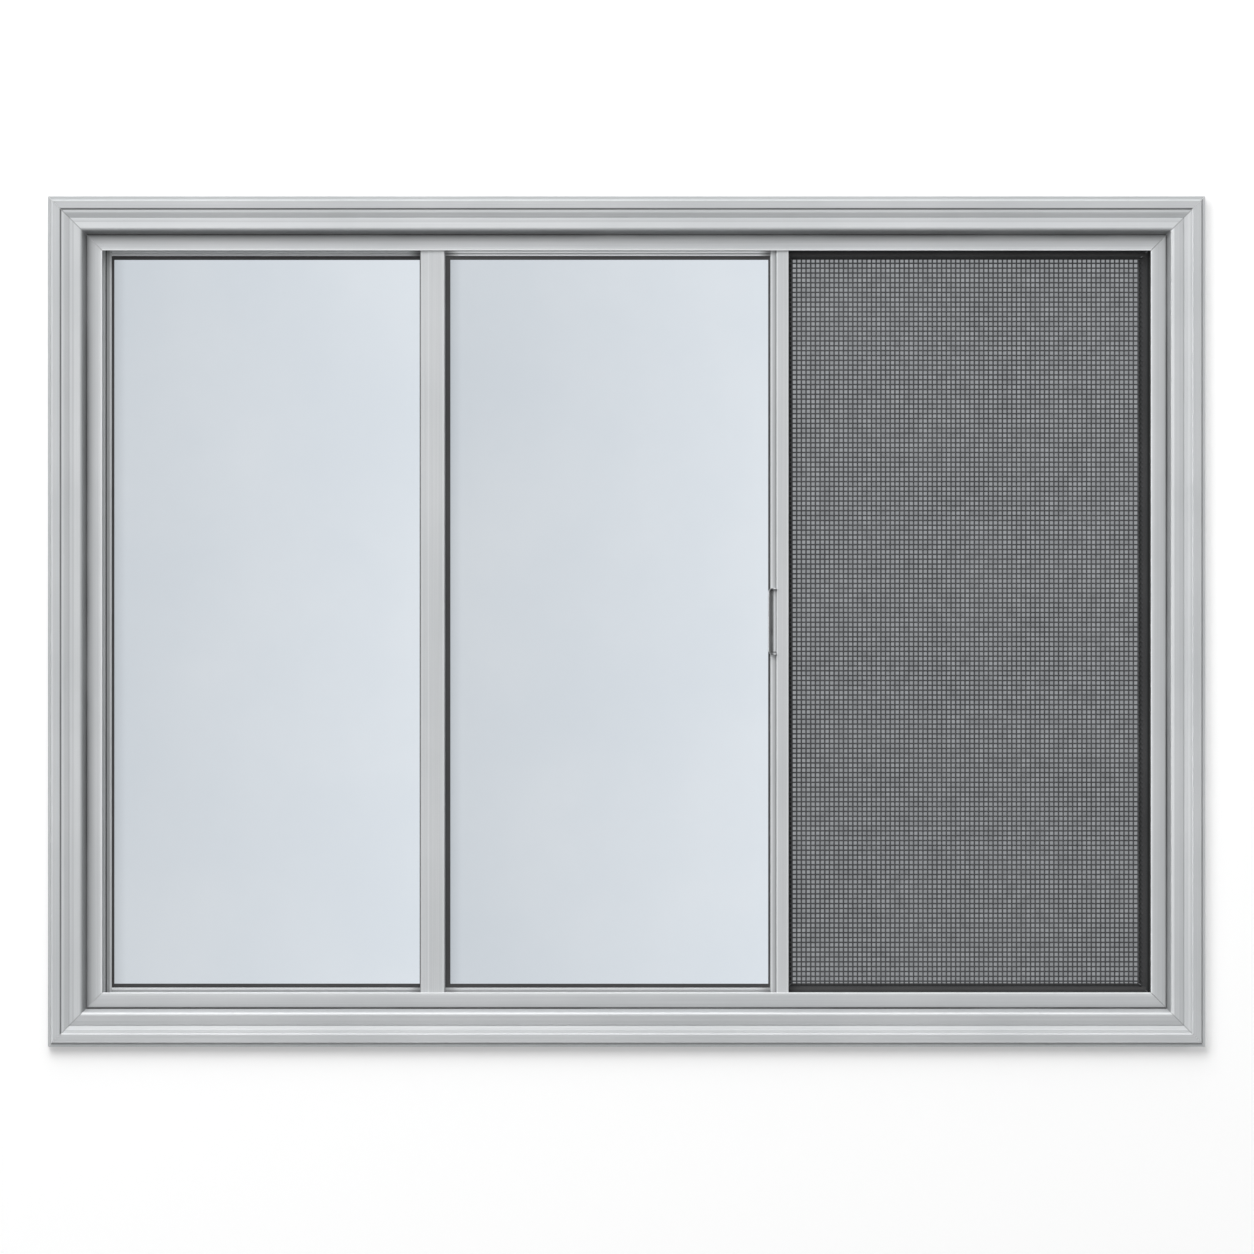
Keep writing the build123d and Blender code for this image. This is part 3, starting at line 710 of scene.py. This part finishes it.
def brush_carrier(low, high):
    """Flat strip with a shallow channel that the tufts stand in."""
    bpy.ops.object.select_all(action="DESELECT")
    bpy.ops.mesh.primitive_cube_add(size=1.0, location=(0, 0, 0))
    carrier = bpy.context.active_object
    bpy.ops.object.mode_set(mode="EDIT")
    bpy.ops.mesh.select_all(action="SELECT")
    bpy.ops.transform.resize(value=(high[0] - low[0], CARRIER_THICK, high[2] - low[2]))
    middle = ((low[0] + high[0]) / 2, low[1] + CARRIER_THICK / 2, (low[2] + high[2]) / 2)
    bpy.ops.transform.translate(value=middle)
    pick_vertices(carrier.data, lambda co: co.y > middle[1])
    bpy.ops.mesh.inset(thickness=CARRIER_LIP, depth=0)
    bpy.ops.transform.translate(value=(0, -CARRIER_GROOVE, 0))
    bpy.ops.object.mode_set(mode="OBJECT")
    return carrier


def brush_tuft(root, length, lean_x, lean_z):
    """One bunch of fibres: a tapered four-sided stalk that leans a little."""
    bpy.ops.object.select_all(action="DESELECT")
    bpy.ops.mesh.primitive_cone_add(vertices=4, radius1=TUFT_ROOT, radius2=TUFT_TIP, depth=length,
                                    location=(0, 0, 0), rotation=(-math.pi / 2, 0, 0))
    tuft = bpy.context.active_object
    bpy.ops.object.transform_apply(location=False, rotation=True, scale=False)
    bpy.ops.object.mode_set(mode="EDIT")
    bpy.ops.mesh.select_all(action="SELECT")
    bpy.ops.transform.translate(value=(root[0], root[1] + length / 2, root[2]))
    pick_vertices(tuft.data, lambda co: co.y > root[1] + length / 2)
    bpy.ops.transform.translate(value=(lean_x, 0, lean_z))
    bpy.ops.object.mode_set(mode="OBJECT")
    return tuft


def brush_seal(node_name):
    """Pile seal in place of its plain strip: a carrier, and three rows of tufts along it."""
    low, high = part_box(node_name)
    root_y = low[1] + CARRIER_THICK - CARRIER_GROOVE
    full = high[1] - TIP_GAP - root_y
    pairs = math.floor((high[2] - low[2] - 2 * CARRIER_LIP) / (2 * TUFT_PITCH))
    first_z = (low[2] + high[2]) / 2 - (pairs - 0.5) * TUFT_PITCH
    carrier = brush_carrier(low, high)
    tufts = []
    for number, (lean_x, lean_z, shorter) in enumerate(TUFT_LEAN):
        row, turn = number // 2, number % 2
        root = ((low[0] + high[0]) / 2 + (row - 1) * ROW_SPACING, root_y, first_z + turn * TUFT_PITCH)
        tufts.append(brush_tuft(root, full - shorter / 1000, lean_x / 1000, lean_z / 1000))
    pile = join_pieces(tufts)
    repeat_piece(pile, (0, 0, 2 * TUFT_PITCH), pairs)
    seal = join_pieces([carrier, pile])
    seal.name = seal.data.name = node_name.replace("_pile_strip", "_brush_seal")
    close_surface(BRUSH_SMOOTH)
    seal.data.materials.clear()
    seal.data.materials.append(PILE)
    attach(seal, "root")
    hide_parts(node_name)


for strip in ("left_pile_strip", "right_pile_strip"):
    brush_seal(strip)


# Stage: pale floor, a white wall seen only from its front, and soft studio light

WALL_PAINT = (0.93, 0.93, 0.93, 1)
WALL_GLOW = 0.29
FLOOR_PAINT = (0.8, 0.8, 0.8, 1)
# Grey seen through the mesh, painted in place of the mesh's shadow on the backing
MESH_SHADOW_GREY = (0.288, 0.299, 0.312, 1)
# Left edge of the first pane, the step to the next, and the backing's level over a pane in millimetres,
# with painted shade towards each pane's left
FIRST_PANE_X = -0.6749
PANE_STEP = 0.442
PANE_SHADE_LEVEL = [(0.0, 0.76), (15.0, 0.94), (442.0, 1.13)]


def stage_plane(name, corners, material):
    """Flat stage piece through four corners, or a flat ring between four outer and four inner ones."""
    bpy.ops.object.select_all(action="DESELECT")
    mesh = bpy.data.meshes.new(name)
    ring = [(i, (i + 1) % 4, (i + 1) % 4 + 4, i + 4) for i in range(4)]
    faces = ring if len(corners) == 8 else [(0, 1, 2, 3)]
    mesh.from_pydata(corners, [], faces)
    mesh.materials.append(material)
    piece = bpy.data.objects.new(name, mesh)
    bpy.context.scene.collection.objects.link(piece)
    return piece


def front_only(tree, shown):
    """Shows a stage shader on the front of its faces and lets sight through from behind."""
    clear = tree.nodes.new("ShaderNodeBsdfTransparent")
    side = tree.nodes.new("ShaderNodeNewGeometry")
    pick = tree.nodes.new("ShaderNodeMixShader")
    plug(tree, pick.inputs[0], side.outputs["Backfacing"])
    tree.links.new(shown, pick.inputs[1])
    tree.links.new(clear.outputs[0], pick.inputs[2])
    tree.links.new(pick.outputs[0], tree.nodes["Material Output"].inputs["Surface"])


def wall_white():
    """White wall that takes the window's shadow; from behind it isn't there."""
    material, tree, shader, _ = start_material("stage wall white")
    tree.nodes.remove(shader)
    paint = put(tree, "ShaderNodeBsdfDiffuse", Color=WALL_PAINT)
    glow = put(tree, "ShaderNodeEmission", Color=(1, 1, 1, 1), Strength=WALL_GLOW)
    both = tree.nodes.new("ShaderNodeAddShader")
    tree.links.new(paint.outputs[0], both.inputs[0])
    tree.links.new(glow.outputs[0], both.inputs[1])
    front_only(tree, both.outputs[0])
    return material


def backing_grey():
    """Glowing backing behind the window, painted light in place of a lit backdrop: pale through the glass
    with painted shade towards each pane's left, and grey through the mesh as the mesh's painted shadow,
    cloudy and darker towards the bottom.
    """
    material, tree, shader, place = start_material("stage backing")
    tree.nodes.remove(shader)
    path = tree.nodes.new("ShaderNodeLightPath")
    x, _, z = put(tree, "ShaderNodeSeparateXYZ", Vector=place).outputs
    from_first = math_step(tree, "SUBTRACT", x, FIRST_PANE_X)
    over_pane = math_step(tree, "MODULO", from_first, PANE_STEP)
    # Painted shade, darker towards each pane's left
    level = across(tree, over_pane, PANE_STEP, PANE_SHADE_LEVEL)
    # Painted shadow of the mesh, cloudy and darker towards the bottom
    cloud = put(tree, "ShaderNodeTexNoise", Vector=place, Scale=55.0, Detail=4.0, Roughness=0.65)
    dim = math_step(tree, "MULTIPLY", spread(tree, cloud.outputs[0], 0.25, 0.75, 0.81, 1.18),
                    spread(tree, z, 0.1, 0.9, 0.94, 1.03))
    mesh_shadow = blend_colour(tree, 1.0, MESH_SHADOW_GREY, dim, "MULTIPLY")
    colour = blend_colour(tree, path.outputs["Is Camera Ray"], level, mesh_shadow)
    glow = put(tree, "ShaderNodeEmission", Color=colour, Strength=1.0)
    front_only(tree, glow.outputs[0])
    return material


def floor_pale():
    """Pale studio floor."""
    material, _, shader, _ = start_material("stage floor pale")
    shader.inputs["Base Color"].default_value = FLOOR_PAINT
    shader.inputs["Roughness"].default_value = 0.6
    return material


WALL = 5.0
WALL_Y = 0.005
FLOOR_Z = -0.32
BACKING_GAP = 0.001
# The wall's opening ends behind the frame's flange
HOLE_INSET = 0.0172
HOLE_X = WINDOW_WIDTH / 2 - HOLE_INSET
HOLE_LOW = HOLE_INSET
HOLE_HIGH = WINDOW_HEIGHT - HOLE_INSET
wall_corners = [(-WALL, WALL_Y, FLOOR_Z), (WALL, WALL_Y, FLOOR_Z),
                (WALL, WALL_Y, WALL), (-WALL, WALL_Y, WALL),
                (-HOLE_X, WALL_Y, HOLE_LOW), (HOLE_X, WALL_Y, HOLE_LOW),
                (HOLE_X, WALL_Y, HOLE_HIGH), (-HOLE_X, WALL_Y, HOLE_HIGH)]
wall = stage_plane("stage_wall", wall_corners, wall_white())
back_y = BACK_Y + BACKING_GAP
backing_corners = [(-HOLE_X, back_y, HOLE_LOW), (HOLE_X, back_y, HOLE_LOW),
                   (HOLE_X, back_y, HOLE_HIGH), (-HOLE_X, back_y, HOLE_HIGH)]
backing = stage_plane("stage_backing", backing_corners, backing_grey())
for panel in (wall, backing):
    panel.visible_shadow = False
    panel.visible_diffuse = False
floor_corners = [(-WALL, -WALL, FLOOR_Z), (WALL, -WALL, FLOOR_Z),
                 (WALL, WALL, FLOOR_Z), (-WALL, WALL, FLOOR_Z)]
ground = stage_plane("stage_floor", floor_corners, floor_pale())
ground.visible_diffuse = False


def studio_lamp(name, toward, distance, size, level):
    """Square soft lamp aimed at the window's middle; level 1 lights a facing surface as written."""
    lamp = bpy.data.lights.new(name, "AREA")
    lamp.shape = "SQUARE"
    lamp.size = size
    lamp.energy = level * math.pi ** 2 * distance ** 2
    made = bpy.data.objects.new(name, lamp)
    middle = Vector((0, 0, WINDOW_HEIGHT / 2))
    made.location = middle + Vector(toward).normalized() * distance
    made.rotation_euler = (middle - made.location).to_track_quat("-Z", "Y").to_euler()
    bpy.context.scene.collection.objects.link(made)
    return made


def shine_only(lamp):
    """Keeps a lamp out of the matt light, so that it only draws highlights along the edges."""
    lamp.visible_diffuse = False
    lamp.visible_transmission = False


def matt_only(lamp):
    """Keeps a lamp out of the highlights, so that it only gives soft light."""
    lamp.visible_glossy = False
    lamp.visible_transmission = False


KEY_SIDE = (-0.36, -0.70, 0.645)
matt_only(studio_lamp("key_lamp", KEY_SIDE, 12.0, 9.5, 0.67))
shine_only(studio_lamp("key_shine", KEY_SIDE, 12.0, 9.5, 0.35))
matt_only(studio_lamp("left_softbox", (-0.75, -0.62, 0.22), 8.0, 7.0, 0.12))
matt_only(studio_lamp("right_softbox", (0.75, -0.62, 0.22), 8.0, 7.0, 0.10))
matt_only(studio_lamp("top_softbox", (0.0, -0.48, 0.88), 8.0, 7.0, 0.40))
shine_only(studio_lamp("left_strip", (-0.96, -0.28, 0.05), 6.0, 3.0, 0.5))
shine_only(studio_lamp("top_strip", (0.0, -0.28, 0.96), 6.0, 3.0, 0.22))
studio_lamp("back_fill_lamp", (0.35, 0.8, 0.5), 5.0, 2.5, 0.6)

ROOM_LIGHT = 0.18
world = bpy.data.worlds.new("studio")
world.use_nodes = True
bpy.context.scene.world = world
sky = world.node_tree.nodes["Background"]
sky.inputs["Color"].default_value = (1, 1, 1, 1)
sight = world.node_tree.nodes.new("ShaderNodeLightPath")
seen = math_step(world.node_tree, "ADD", sight.outputs["Is Camera Ray"], sight.outputs["Is Glossy Ray"])
seen = math_step(world.node_tree, "ADD", seen, sight.outputs["Is Transmission Ray"], clamp=True)
plug(world.node_tree, sky.inputs["Strength"], spread(world.node_tree, seen, 0.0, 1.0, ROOM_LIGHT, 1.0))

# Camera square to the window, far off with a long lens. In pixels: the picture, the window's width in
# it, and how far the window's middle lies left of and above the picture's
PICTURE_SIDE = 1254
WINDOW_ACROSS = 1157.5
OFF_LEFT = 0.45
OFF_UP = 5.5
PIXEL = WINDOW_WIDTH / WINDOW_ACROSS
SENSOR = 36.0
CAMERA_FAR = 60.0
camera = bpy.data.cameras.new("camera")
camera.sensor_width = SENSOR
camera.lens = SENSOR * CAMERA_FAR / (PICTURE_SIDE * PIXEL)
camera.clip_end = 2 * CAMERA_FAR
viewer = bpy.data.objects.new("camera", camera)
viewer.location = (OFF_LEFT * PIXEL, FACE_Y - CAMERA_FAR, WINDOW_HEIGHT / 2 - OFF_UP * PIXEL)
viewer.rotation_euler = (math.pi / 2, 0, 0)
bpy.context.scene.collection.objects.link(viewer)
bpy.context.scene.camera = viewer
bpy.context.scene.view_settings.view_transform = "Standard"
